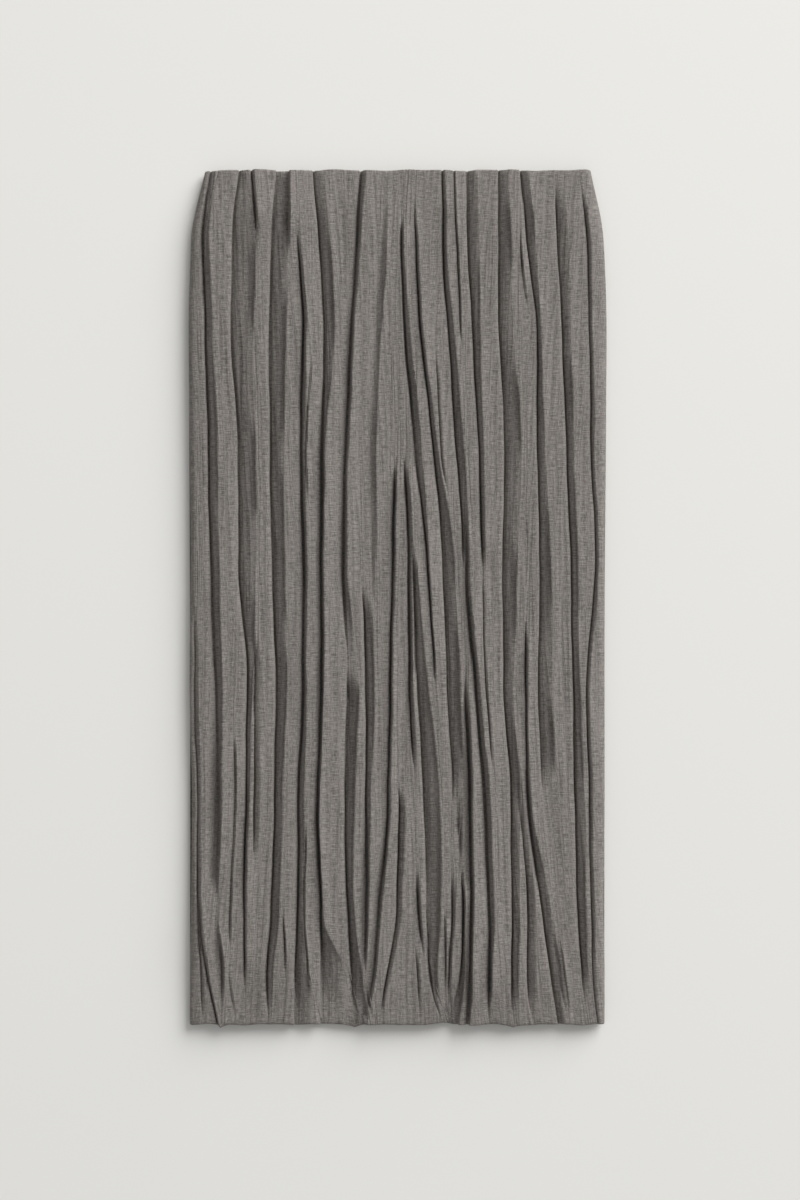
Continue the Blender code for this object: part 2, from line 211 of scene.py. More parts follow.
# Waist, high hip, hip, thigh, low thigh, knee, shin, calf, above hem, hem
FRONT_STATIONS = (0, 70, 160, 280, 390, 510, 630, 740, 800, 854)
FRONT_LEFT = (-192, -205.5, -208.3, -207, -206.3, -207.3, -205, -206, -206.8, -207.2)
FRONT_RIGHT = (192, 205, 208, 207, 206, 206, 206, 205, 206, 206)
FRONT_FOLDS = (
    Fold((-190, -202, -204, -203, -202, -203, -200, -200, -196.5, -194.5), (6,),
         (Run(440, 850, 0.6),)),
    Fold((-189, -199, -200, -199, -198, -198, -197, -197.5, -191, -179.5), (4,),
         (Run(715, 854, 0.9),)),
    Fold((-187.5, -195, -192.5, -189.6, -187, -182, -178.5, -180, -175, -177),
         (8, 8, 9, 11, 10, 8, 4, 3, 4, 4), (Run(0, 725, 1.0), Run(745, 835, 0.6)),
         fall=(2, 2, 2, 2, 3, 8, 13, 13, 8, 3), shelf=(0, 0, 0, 0, 0, 4, 7, 7.5, 4, 0)),
    Fold((-172, -180, -180, -175, -173, -165, -161.5, -167, -167, -161), (3,),
         (Run(560, 775, 0.5), Run(795, 848, 0.35, 20)), minor=True),
    Fold((-158, -165.5, -166.5, -159.5, -159, -150.5, -152, -154, -153, -150),
         (8, 25, 24, 19, 19, 7, 5, 4.5, 4, 4), (Run(0, 815, 0.9),), riser=(0.6,)),
    Fold((-146, -141.5, -143, -142, -142, -142.5, -143.5, -143, -138, -136),
         (5, 3, 3, 3, 3, 8, 8, 5, 5, 5), (Run(0, 70, 1.2), Run(460, 690, 0.6))),
    Fold((-121, -126, -128.5, -127.7, -126, -122, -123.5, -127, -131.5, -127.5),
         (13, 18, 18, 15, 14, 12.5, 9, 10, 8, 6), (Run(0, 845, 1.0),),
         riser=(0.6, 0.8, 0.6, 0.6, 0.5, 0.3, 0.3, 0.3, 0.3, 0.3)),
    Fold((-110, -109, -111, -112, -110, -108, -110, -114, -112.5, -112), (3.5,),
         (Run(0, 80, 1.2), Run(735, 805, 0.5))),
    Fold((-101, -99.5, -95, -97, -94, -94.5, -99.5, -100.2, -103.3, -102.5),
         (5, 5, 5, 6, 4.5, 4.5, 7, 7, 14, 25), (Run(62, 854, 1.1),),
         fall=(2, 2, 3, 5, 5, 5, 4, 3, 2, 2), shelf=(0, 0, 1, 2, 2, 2, 1, 0, 0, 0),
         riser=(0.2, 0.2, 0.2, 0.2, 0.2, 0.2, 0.2, 0.2, 0.0, 0.0)),
    Fold((-92, -89, -84, -92, -85, -85, -91, -93, -90, -88.5), (3,),
         (Run(180, 330, 0.4), Run(650, 835, 0.5)), minor=True),
    Fold((-84.5, -79.5, -74, -75.3, -76, -75.5, -79.8, -77, -76.8, -77.3),
         (12, 13, 12, 4, 3, 3, 3, 3, 26, 37), (Run(0, 230, 0.9), Run(190, 854, 1.25)),
         fall=(2, 2, 3, 6, 6, 6, 5, 3, 2, 2), shelf=(0, 0, 1, 2.5, 2.5, 2.5, 2, 0, 0, 0),
         riser=(0.6, 0.6, 0.6, 0.2, 0.2, 0.2, 0.2, 0.2, 0.0, 0.0)),
    Fold((-37, -41, -46.2, -52, -54.5, -50.5, -53.5, -50.6, -47, -42),
         (6, 5, 4, 4, 4.5, 13, 11, 8, 12, 14), (Run(0, 490, 1.0, 70), Run(500, 854, 1.3)),
         riser=(0.3, 0.3, 0.3, 0.3, 0.3, 0.6, 0.5, 0.3, 0.3, 0.3),
         fall=(4, 6, 9, 9, 7, 3, 2, 2, 2, 2), shelf=(0, 1, 2.5, 2.5, 2, 0, 0, 0, 0, 0)),
    Fold((-32, -33, -35, -38, -36.5, -32.5, -32, -31, -33, -39),
         (8, 8, 8, 8, 10, 10, 6, 3, 3, 3), (Run(415, 800, 0.95),),
         fall=(2, 2, 2, 2, 2, 2, 3, 10, 7, 3), shelf=(0, 0, 0, 0, 0, 0, 0, 3.5, 2.5, 0)),
    Fold((-8, -15, -21, -26.5, -26, -22, -21, -24, -28, -37), (6,),
         (Run(20, 450, 0.8, 90),), fall=(12,), slot=0.0),
    Fold((-5, -10, -8, -3, -5.3, -8, -10, -19, -24.5, -35), (3.5,), (Run(290, 854, 1.0),),
         fall=(4, 4, 4, 4, 4, 3, 4, 7, 8, 5), shelf=(0, 0, 0, 0, 0, 0, 0, 3, 3, 1)),
    Fold((-2, -6, -4, 0, 0, 0, 0.5, -2, -11, -19), (6, 6, 6, 6, 6, 6, 7, 7, 5, 4),
         (Run(610, 845, 0.8),)),
    Fold((0, -3, 0, 3, 4, 4, 8, 14, 19.5, 22), (5,), (Run(770, 842, 0.4),)),
    Fold((2, 0, 3, 6, 10.3, 11, 17, 20, 30, 44), (5, 5, 5, 5, 5, 5, 5, 4, 3, 3),
         (Run(287, 595, 1.1), Run(700, 775, 1.0, 20), Run(800, 850, 0.4))),
    Fold((5, 1.5, 5, 11, 15, 18.5, 25.5, 28.5, 31, 42), (8, 8, 8, 8, 5, 12, 17, 15, 9, 4),
         (Run(375, 835, 1.1, 30),), riser=(0.3, 0.3, 0.3, 0.3, 0.3, 0.3, 0.4, 0.8, 0.9, 0.3)),
    Fold((8, 3, 6.5, 17, 28.5, 36, 38, 46, 47, 47), (4, 4, 6, 8, 3.5, 3, 3, 3, 3, 3),
         (Run(52, 505, 0.95, 14), Run(735, 820, 0.5))),
    Fold((16, 17, 22, 35, 44, 48.5, 54, 53, 51, 48), (4, 4, 4, 6, 13, 14, 12, 5, 4, 4),
         (Run(30, 640, 1.0, 45), Run(700, 830, 0.75)),
         riser=(0.3, 0.3, 0.3, 0.3, 0.3, 0.7, 0.6, 0.3, 0.3, 0.3)),
    Fold((30, 31, 36, 43, 56, 54, 60, 64, 62, 49), (5, 5, 5, 5, 5, 5, 5, 4, 6, 12),
         (Run(180, 320, 0.35), Run(598, 688, 0.8), Run(700, 854, 1.6)),
         riser=(0.3, 0.3, 0.3, 0.3, 0.3, 0.3, 0.3, 0.3, 0.8, 0.95)),
    Fold((44, 44, 49.5, 57.5, 65, 67, 72, 73, 72.5, 69), (5, 5, 7, 9, 7, 5, 3.5, 3, 3, 3),
         (Run(0, 400, 1.0), Run(500, 854, 1.25, 45)),
         fall=(2, 2, 2, 2, 2, 4, 9, 6, 6, 5), shelf=(0, 0, 0, 0, 0, 1, 2.5, 3, 3.5, 3)),
    Fold((56, 58, 62.5, 68, 68, 76.5, 86, 90.5, 91.5, 90), (3, 3, 3, 4, 4, 5, 6.5, 6, 3, 3),
         (Run(0, 175, 0.6), Run(335, 850, 1.2, 45)),
         fall=(2, 2, 2, 2, 2, 4, 5, 5, 5, 3), shelf=(0, 0, 0, 0, 0, 2, 3, 3, 3, 0)),
    Fold((67.5, 69, 73.5, 80, 83.3, 87, 96, 99, 102, 100), (12, 13, 9, 6, 5, 4, 4, 4, 4, 4),
         (Run(0, 400, 1.0), Run(400, 600, 0.35))),
    Fold((100.5, 99.4, 100.5, 106, 104, 105, 112, 113, 113, 114),
         (11, 14, 15, 18, 16, 11, 10, 9, 8, 7), (Run(0, 840, 0.85),), riser=(0.55,)),
    Fold((110, 111, 113, 119, 117, 117, 121, 129, 128, 134),
         (5, 5, 5, 5, 5, 5, 7, 10, 11, 8), (Run(580, 735, 0.4), Run(690, 842, 0.8))),
    Fold((116, 117, 122, 126, 128, 126.5, 129.5, 143.5, 151, 160),
         (4, 4, 4, 4, 4, 3.5, 4, 11, 12, 9), (Run(340, 378, 0.35), Run(450, 854, 0.9))),
    Fold((119, 121.5, 130, 132, 134, 134, 138, 151, 157, 165), (2.5,), (Run(58, 140, 0.6),),
         minor=True),
    Fold((122, 127.5, 138, 138.5, 141, 139.5, 144, 155, 161, 169),
         (9, 10, 5, 9, 12, 15, 14, 9, 9, 9),
         (Run(0, 625, 0.85, 45), Run(760, 850, 0.5)), riser=(0.5,)),
    Fold((156, 158.5, 163, 167.5, 171.5, 173.8, 175.7, 178.8, 182.5, 189),
         (11, 12, 10, 8.5, 8, 8, 11, 9, 7, 6), (Run(15, 200, 0.7), Run(170, 825, 0.9)),
         riser=(0.5,)),
    Fold((181, 187.5, 190.5, 192, 196.5, 187.5, 190, 192, 194, 199), (5,),
         (Run(15, 800, 0.7), Run(760, 854, 0.4))),
)

# Waist, high hip, hip, knee, calf, hem
BACK_STATIONS = (0, 70, 160, 510, 740, 854)
BACK_LEFT = (-191, -206, -208, -207, -207, -207)
BACK_RIGHT = (192, 205, 208, 206, 206, 206)
BACK_FOLDS = (
    Fold((-176, -190, -192, -189, -186, -190), (9,), (Run(0, 854, 0.8),)),
    Fold((-150, -160, -163, -158, -161, -158), (11,), (Run(0, 700, 0.9),)),
    Fold((-128, -136, -139, -141, -136, -139), (9,), (Run(90, 854, 0.9),)),
    Fold((-103, -110, -112, -108, -112, -108), (12,), (Run(0, 854, 1.0),)),
    Fold((-86, -90, -92, -95, -90, -93), (8,), (Run(200, 780, 0.7),)),
    Fold((-64, -67, -68, -66, -71, -66), (10,), (Run(0, 854, 1.1),)),
    Fold((-40, -42, -41, -46, -42, -44), (9,), (Run(0, 560, 0.9),)),
    Fold((-22, -24, -25, -22, -24, -19), (9,), (Run(0, 854, 0.9),)),
    Fold((12, 14, 15, 14, 11, 15), (11,), (Run(0, 854, 0.8),)),
    Fold((33, 36, 37, 33, 36, 34), (8,), (Run(110, 854, 1.0),)),
    Fold((52, 56, 58, 61, 57, 60), (12,), (Run(0, 854, 1.0),)),
    Fold((79, 82, 83, 80, 85, 81), (9,), (Run(0, 640, 0.8),)),
    Fold((97, 102, 104, 107, 103, 108), (11,), (Run(0, 854, 1.1),)),
    Fold((121, 127, 130, 126, 131, 128), (9,), (Run(260, 854, 0.8),)),
    Fold((143, 150, 152, 154, 150, 155), (12,), (Run(0, 854, 0.9),)),
    Fold((165, 175, 178, 175, 179, 176), (10,), (Run(0, 854, 0.8),)),
)

HEM_PINCHES = (
    Pinch(-176, 3.0, 9),
    Pinch(-43, 3.5, 12),
    Pinch(0, 1.5, 30),
    Pinch(46, -1.5, 14),
    Pinch(115, 3.0, 16),
)


# ---------------------------------------------------------------------------------------------
# Finishes
# ---------------------------------------------------------------------------------------------

def add_node(tree: bpy.types.NodeTree, kind: str, settings: dict[str, Any] | None = None,
             **links: Any) -> bpy.types.Node:
    """Adds one node, with its settings and what feeds it.

    Args:
        tree: The tree that it goes in.
        kind: The node's type name.
        settings: Attributes of the node to set.
        **links: Inputs by name, with underscores for spaces, or by index as "in0": a socket to
            link from, or a value.

    Returns:
        The new node.
    """
    node = tree.nodes.new(kind)
    for key, value in (settings or {}).items():
        setattr(node, key, value)
    for key, value in links.items():
        index = int(key[2:]) if key[:2] == "in" and key[2:].isdigit() else key.replace("_", " ")
        socket = node.inputs[index]
        if isinstance(value, bpy.types.NodeSocket):
            tree.links.new(value, socket)
        else:
            socket.default_value = value
    return node


@dataclass(frozen=True)
class MelangeCloth:
    """Wool-blend plain weave spun from dark and pale fibres.

    Woven, then crinkled with heat and left unpressed: matt, with a faint fuzz that pales at
    grazing angles, slubs along both threads, and slow drifts of tone where fibres are unevenly
    blended. The UV map is in metres of cloth, so threads follow the folds.

    Attributes:
        name: The material's name.
        dark: Colour of the dark fibre.
        pale: Colour of the pale fibre.
        warm: Tint of some of the warp threads.
        thread_mm: Spacing of the threads. The real one is about 0.5, too fine to show.
        warp_slub_mm: Length of a slub along the skirt.
        weft_slub_mm: Length of a slub across it.
    """

    name: str
    dark: str = "605C58"
    pale: str = "908B86"
    warm: str = "7F7674"
    thread_mm: float = 0.8
    warp_slub_mm: float = 5.0
    weft_slub_mm: float = 9.0

    def make(self) -> bpy.types.Material:
        """Builds the material.

        Returns:
            The material.
        """
        material = bpy.data.materials.new(self.name)
        material.use_nodes = True
        tree = material.node_tree
        tree.nodes.clear()
        uv = add_node(tree, "ShaderNodeUVMap", {"uv_map": "cloth"}).outputs["UV"]
        thread = 1 / (self.thread_mm * MM)
        warp = self._streaks(tree, uv, (thread, 1 / (self.warp_slub_mm * MM), 1.0))
        weft = self._streaks(tree, uv, (1 / (self.weft_slub_mm * MM), thread, 7.0))
        blotch = self._streaks(tree, uv, (1 / 0.004, 1 / 0.030, 3.0))
        drift = self._streaks(tree, uv, (1 / 0.012, 1 / 0.150, 11.0))
        both = add_node(tree, "ShaderNodeMath", {"operation": "MULTIPLY_ADD"},
                        in0=weft, in1=1.35, in2=warp).outputs[0]
        soft = add_node(tree, "ShaderNodeMath", {"operation": "ADD"}, in0=blotch, in1=drift).outputs[0]
        share = add_node(tree, "ShaderNodeMath", {"operation": "MULTIPLY_ADD"},
                         in0=soft, in1=0.35, in2=both).outputs[0]
        mixed = add_node(tree, "ShaderNodeMapRange", {}, Value=share, From_Min=1.10, From_Max=1.95,
                         To_Min=0.0, To_Max=1.0).outputs[0]
        base = add_node(tree, "ShaderNodeMix", {"data_type": "RGBA"}, Factor=mixed)
        base.inputs[6].default_value = linear_colour(self.dark)
        base.inputs[7].default_value = linear_colour(self.pale)
        tint = add_node(tree, "ShaderNodeMapRange", {}, Value=blotch, From_Min=0.52, From_Max=0.72,
                        To_Min=0.0, To_Max=0.35).outputs[0]
        tinted = add_node(tree, "ShaderNodeMix", {"data_type": "RGBA"}, Factor=tint)
        tree.links.new(base.outputs[2], tinted.inputs[6])
        tinted.inputs[7].default_value = linear_colour(self.warm)
        wrinkle = self._streaks(tree, uv, (1 / 0.006, 1 / 0.085, 21.0), detail=0.6)
        crease = add_node(tree, "ShaderNodeMath", {"operation": "PINGPONG"}, in0=wrinkle,
                          in1=0.5).outputs[0]
        creased = add_node(tree, "ShaderNodeBump", {}, Height=crease, Strength=0.75,
                           Distance=0.0030).outputs[0]
        bump = add_node(tree, "ShaderNodeBump", {}, Height=both, Strength=0.6, Distance=0.0004,
                        Normal=creased).outputs[0]
        shader = add_node(
            tree, "ShaderNodeBsdfPrincipled", {}, Roughness=0.92, Normal=bump,
            Specular_IOR_Level=0.18, Sheen_Weight=0.12, Sheen_Roughness=0.45,
        )
        shader.inputs["Sheen Tint"].default_value = linear_colour("D8D4CE")
        tree.links.new(tinted.outputs[2], shader.inputs["Base Color"])
        add_node(tree, "ShaderNodeOutputMaterial", {}, Surface=shader.outputs[0])
        return material

    @staticmethod
    def _streaks(tree: bpy.types.NodeTree, uv: bpy.types.NodeSocket,
                 scale: tuple[float, float, float], detail: float = 1.0) -> bpy.types.NodeSocket:
        """Noise drawn out along one of the cloth's two threads.

        Args:
            tree: The material's tree.
            uv: The cloth's coordinates.
            scale: Cells per metre across and along, and an offset that sets streaks apart.
            detail: How many finer layers it has.

        Returns:
            The noise's value, about 0.5 on average.
        """
        place = add_node(tree, "ShaderNodeMapping", {}, Vector=uv)
        place.inputs["Scale"].default_value = (scale[0], scale[1], 1.0)
        place.inputs["Location"].default_value = (scale[2], scale[2] * 2, 0.0)
        return add_node(tree, "ShaderNodeTexNoise", {"noise_dimensions": "2D"},
                        Vector=place.outputs[0], Scale=1.0, Detail=detail, Roughness=0.55).outputs[0]


@dataclass(frozen=True)
class SpunThread:
    """Polyester sewing thread, spun: matt, a little paler than the cloth.

    Attributes:
        name: The material's name.
        colour: The thread's colour.
    """

    name: str
    colour: str = "9C9893"

    def make(self) -> bpy.types.Material:
        """Builds the material.

        Returns:
            The material.
        """
        material = bpy.data.materials.new(self.name)
        material.use_nodes = True
        tree = material.node_tree
        tree.nodes.clear()
        place = add_node(tree, "ShaderNodeTexCoord").outputs["Object"]
        fuzz = add_node(tree, "ShaderNodeTexNoise", {}, Vector=place, Scale=2500.0).outputs[0]
        tone = add_node(tree, "ShaderNodeMix", {"data_type": "RGBA"}, Factor=fuzz)
        tone.inputs[6].default_value = linear_colour("7B7773")
        tone.inputs[7].default_value = linear_colour(self.colour)
        shader = add_node(tree, "ShaderNodeBsdfPrincipled", {}, Roughness=0.75,
                          Specular_IOR_Level=0.3)
        tree.links.new(tone.outputs[2], shader.inputs["Base Color"])
        add_node(tree, "ShaderNodeOutputMaterial", {}, Surface=shader.outputs[0])
        return material


# ---------------------------------------------------------------------------------------------
# A sheet of pleated cloth
# ---------------------------------------------------------------------------------------------

@dataclass
class PleatedSheet:
    """One side of the skirt: a single sheet, turned in at the waist and up at the hem.

    Attributes:
        name: The piece's name.
        side: Which way its outside faces.
        stations: Distances down from the waist that the tables give places at.
        left: The x of its left side seam at each station.
        right: The x of its right side seam.
        folds: Its pleats, from left to right.
        flats: Height of the cloth between pleats.
        seam: Height of its edge at the side seams.
        top_y: The Y of the waist edge.
        length: Waist edge to hem edge, in mm.
        crevice: Depth of a full pleat's crevice under its slope, in mm.
        slope: How steeply a full pleat's lap climbs to its ridge.
        tilt: How much a strip between pleats slants down from its ridge, as a share.
        deepest: The most that the cloth lies in from its flats, in mm.
        ends_fall: How far the cloth comes down towards the hem, in mm, and in part at the waist.
        ends_room: How much shallower its pleats are over the turned-in layers, in mm.
        cloth: Thickness of the cloth, in mm.
        row_step: Distance between mesh rows, in mm.
        column_step: The widest mesh column between pleats, in mm.
        seed: Sets its random crinkles.
    """

    name: str
    side: Side
    stations: tuple[float, ...]
    left: tuple[float, ...]
    right: tuple[float, ...]
    folds: tuple[Fold, ...]
    flats: float
    seam: float
    top_y: float
    length: float = 852.0
    crevice: float = 7.2
    slope: float = 0.5
    tilt: float = 1.0
    deepest: float = 10.6
    ends_fall: float = 3.2
    ends_room: float = 2.4
    cloth: float = 0.6
    row_step: float = 9.6
    column_step: float = 2.6
    seed: int = 1

    # All in mm, but for the two shares of a pleat's depth that are left at the waist and the hem
    most_slant = 6.5
    crest = 4.6
    crest_length = 11.0
    casing_depth = 30.0
    hem_depth = 16.0
    layer_gap = 1.7
    side_round = 7.0
    side_inset = 1.6
    waist_share = 0.7
    hem_share = 0.72

    # Where a pleat's mesh columns lie: shares of the fall, shares of the lap, and mm
    column_roles = (
        (-1.0, 0.0, -1.4), (-1.0, 0.0, 0.0), (-0.5, 0.0, 0.0), (-0.2, 0.0, 0.0), (0.0, 0.0, 0.0),
        (0.0, 0.0, 0.7), (0.0, 0.0, 1.7), (0.0, 0.1, 1.9), (0.0, 0.6, 0.5), (0.0, 1.0, -1.1),
        (0.0, 1.0, -0.1), (0.0, 1.0, 1.0),
    )
    minor_roles = (1, 4, 6, 9, 10, 11)
    # How far a shut pleat leans sideways over its crevice there, in mm
    column_leans = (0.0, 0.6, 0.9, 0.0, -0.8, -0.3, 0.1, 0.0, 0.0, 0.15, -0.6, -0.2)

    def rows(self) -> tuple[np.ndarray, np.ndarray]:
        """Lists the mesh rows, from inside the waist, over it, down the outside and up the hem.

        Returns:
            Each row's distance down and how far in it lies from the outer face, in mm.
        """
        roll = ((5.0, 0.0), (1.3, 0.06), (0.3, 0.38), (0.0, 0.85), (0.3, 1.32), (1.3, 1.64))
        inside = [(down, self.layer_gap) for down in (self.casing_depth, 20, 10)]
        waist = inside + [(down, deep) for down, deep in reversed(roll)]
        count = round((self.length - 10) / self.row_step)
        outer = [(down, 0.0) for down in np.linspace(5, self.length - 5, count)[1:-1]]
        hem = [(self.length - down, deep) for down, deep in roll]
        hem += [(self.length - down, self.layer_gap) for down in (8, self.hem_depth)]
        every = np.array(waist + outer + hem)
        return every[:, 0], every[:, 1]

    def fold_lines(self, down: np.ndarray) -> np.ndarray:
        """Where each fold's crevice runs, with a slight waver.

        Args:
            down: Distances down from the waist, in mm.

        Returns:
            One row of x for each fold, in mm.
        """
        phases = np.random.default_rng(self.seed).uniform(0, 2 * math.pi, (len(self.folds), 2))
        lines = []
        for fold, (first, second) in zip(self.folds, phases):
            waver = 0.35 * np.sin(down / 21.0 + first) + 0.15 * np.sin(down / 8.3 + second)
            lines.append(smooth_line(self.stations, fold.line, down) + waver)
        return np.array(lines)

    def along(self, field: str, down: np.ndarray) -> np.ndarray:
        """Reads one of the folds' sizes along their lines.

        Args:
            field: The name of a field of Fold with one value, or one for each station.
            down: Distances down from the waist, in mm.

        Returns:
            One row of values for each fold.
        """
        rows = []
        for fold in self.folds:
            values = getattr(fold, field)
            values = values if len(values) > 1 else values * len(self.stations)
            rows.append(smooth_line(self.stations, values, down))
        return np.array(rows)

    def fold_depths(self, down: np.ndarray) -> np.ndarray:
        """How deep each fold is along its line.

        Args:
            down: Distances down from the waist, in mm.

        Returns:
            One row of depth shares for each fold.
        """
        phases = np.random.default_rng(self.seed + 1).uniform(0, 2 * math.pi, len(self.folds))
        at_waist = 1 - smooth_step(self.casing_depth / 2, self.casing_depth * 2, down)
        at_hem = 1 - smooth_step(0, self.hem_depth * 3.5, self.length - down)
        eased = 1 - (1 - self.waist_share) * at_waist - (1 - self.hem_share) * at_hem
        depths = []
        for fold, phase in zip(self.folds, phases):
            shut = np.zeros_like(down)
            for run in fold.runs:
                part = np.ones_like(down)
                if run.start > 0:
                    part = smooth_step(run.start, run.start + run.fade, down)
                if run.end < self.length:
                    part = part * (1 - smooth_step(run.end - run.fade, run.end, down))
                shut = np.maximum(shut, run.depth * part)
            depths.append(shut * eased * (1 + 0.16 * np.sin(down / 29.0 + phase)))
        return np.array(depths)

    def end_fall(self, down: np.ndarray) -> np.ndarray:
        """How far the cloth comes down towards the other sheet at its open ends.

        Args:
            down: Distances down from the waist, in mm.

        Returns:
            One fall for each distance, in mm.
        """
        at_waist = 1 - smooth_step(0, 45, down)
        at_hem = 1 - smooth_step(0, 75, self.length - down)
        return self.ends_fall * (0.7 * at_waist + at_hem)

    def end_room(self, down: np.ndarray) -> np.ndarray:
        """How much depth the turned-in layers take from the pleats.

        Args:
            down: Distances down from the waist, in mm.

        Returns:
            One depth for each distance, in mm.
        """
        at_waist = 1 - smooth_step(self.casing_depth, 2 * self.casing_depth, down)
        at_hem = 1 - smooth_step(self.hem_depth, 3 * self.hem_depth, self.length - down)
        return self.ends_room * np.maximum(at_waist, at_hem)

    def columns(self, lines: np.ndarray, laps: np.ndarray, falls: np.ndarray, left: np.ndarray,
                right: np.ndarray) -> tuple[np.ndarray, list[tuple[int, int]]]:
        """Places the mesh columns on every row, in order across the cloth.

        Args:
            lines: The fold lines' x.
            laps: The folds' lap widths.
            falls: The widths on the folds' left.
            left: The left seam's x.
            right: The right seam's x.

        Returns:
            One row of x for each mesh row, and each column's fold and role, or -1 for no fold.
        """
        places = [left, left + 1.2, left + 3.5]
        roles: list[tuple[int, int]] = [(-1, 0)] * 3
        ends = np.vstack([lines, right - 3.5])
        for k, fold in enumerate(self.folds):
            for r in self.minor_roles if fold.minor else range(len(self.column_roles)):
                fall, lap, extra = self.column_roles[r]
                places.append(lines[k] + fall * falls[k] + lap * laps[k] + extra)
                roles.append((k, r))
            start = places[-1]
            ahead = falls[k + 1] + 1.6 if k + 1 < len(self.folds) else 0.0
            room = ends[k + 1] - ahead - start
            count = max(0, math.ceil(float(np.percentile(room, 80)) / self.column_step) - 1)
            for i in range(count):
                places.append(start + room * (i + 1) / (count + 1))
                roles.append((-1, 0))
        places += [right - 3.5, right - 1.2, right]
        roles += [(-1, 0)] * 3
        x = np.array(places).T
        least_gap = 0.22
        for k in range(1, x.shape[1]):
            x[:, k] = np.maximum(x[:, k], x[:, k - 1] + least_gap)
        x[:, -1] = right
        for k in range(x.shape[1] - 2, 0, -1):
            x[:, k] = np.minimum(x[:, k], x[:, k + 1] - least_gap)
        return x, roles

    def relief(self, x: np.ndarray, down: np.ndarray, lines: np.ndarray, laps: np.ndarray,
               falls: np.ndarray, depths: np.ndarray) -> np.ndarray:
        """How far out the cloth stands from its flats.

        Args:
            x: Mesh columns' places.
            down: Each row's distance down from the waist.
            lines: The fold lines' x.
            laps: The folds' lap widths.
            falls: The widths on their left.
            depths: Their depth shares.

        Returns:
            Heights in mm, below zero in the pleats.
        """
        dip, rise = np.zeros_like(x), np.zeros_like(x)
        shelves, risers = self.along("shelf", down), self.along("riser", down)
        for k, fold in enumerate(self.folds):
            lap, fall, depth = laps[k][:, None], falls[k][:, None], depths[k][:, None]
            share = risers[k][:, None] * np.clip((lap - 3) / 3, 0, 1)
            offset = (x - lines[k][:, None]) / (0.4 + 0.6 * np.clip(depth, 0, 1))
            wall = np.minimum(fall, 4.0) if fold.slot > 0 else fall
            slot = np.where(
                offset < 0,
                np.interp(offset / wall, (-1.0, -0.5, -0.2, 0.0), (0.0, 0.22, 0.75, 1.0)),
                np.interp(offset, (0.7, 1.7, 2.6, 4.0), (1.0, 0.75, 0.08, 0.0))
                * np.clip((lap - offset) / 1.2, 0, 1),
            )
            ramp = np.clip(offset / np.maximum(lap - 1.0, 0.5), 0, 1)
            broad = np.clip((lap - 14) / 6, 0, 1) * (share < 0.15)
            ramp = ramp + (ramp * ramp * (3 - 2 * ramp) - ramp) * broad
            floor = (1 - (1 - share) * ramp) * np.clip(lap - offset, 0, 1)
            slant = np.where(offset < 0, np.clip(1 + offset / wall, 0, 1) ** 2, floor)
            deep = self.crevice * fold.slot * slot
            deep = deep + np.minimum(self.slope * lap, self.most_slant) * slant
            sunk = shelves[k][:, None] * smooth_step(-1.0, -0.6, offset / fall)
            deep = np.maximum(deep, np.where(offset < 0, sunk, sunk * floor))
            past = np.clip(offset - lap, 0, None)
            crest = np.where(offset < 0, 0, 1 - floor) * np.exp(-past / self.crest_length)
            height = np.clip(self.crest - 0.25 * lap, 1.6, 4.0) * (1 - 0.9 * broad)
            rim = np.clip(1 - (lap - offset) / 1.5, 0, 1) * np.exp(-past / 1.4) * (1 - broad)
            dip = np.maximum(dip, depth * deep)
            rise += depth * self.tilt * (height * crest + 0.45 * rim)
        fallen = self.end_fall(down)[:, None]
        most = self.deepest - fallen - self.end_room(down)[:, None]
        return rise - 0.8 * self.tilt - fallen - np.minimum(dip, most)

    def side_roll(self, x: np.ndarray, left: np.ndarray, right: np.ndarray) -> np.ndarray:
        """Rounds the cloth down to the side seams.

        Args:
            x: Mesh columns' places.
            left: The left seam's x.
            right: The right seam's x.

        Returns:
            0 at the seams, 1 away from them.
        """
        inward = np.minimum(x - left[:, None], right[:, None] - x)
        edge = np.sqrt(np.clip(1 - (1 - np.clip(inward / self.side_round, 0, 1)) ** 2, 0, 1))
        return 0.8 * edge + 0.2 * smooth_step(0, 40, inward)

    def hem_drop(self, x: np.ndarray) -> np.ndarray:
        """How far the hem edge hangs below its straight line.

        Args:
            x: Places across the skirt, in mm.

        Returns:
            Drops in mm.
        """
        drop = 0.5 * np.sin(x / 9.0) + 0.3 * np.sin(x / 4.1 + 1.0) - 0.8
        for pinch in HEM_PINCHES:
            drop = drop + pinch.drop * np.clip(1 - np.abs(x - pinch.x) / pinch.reach, 0, 1) ** 2
        return drop

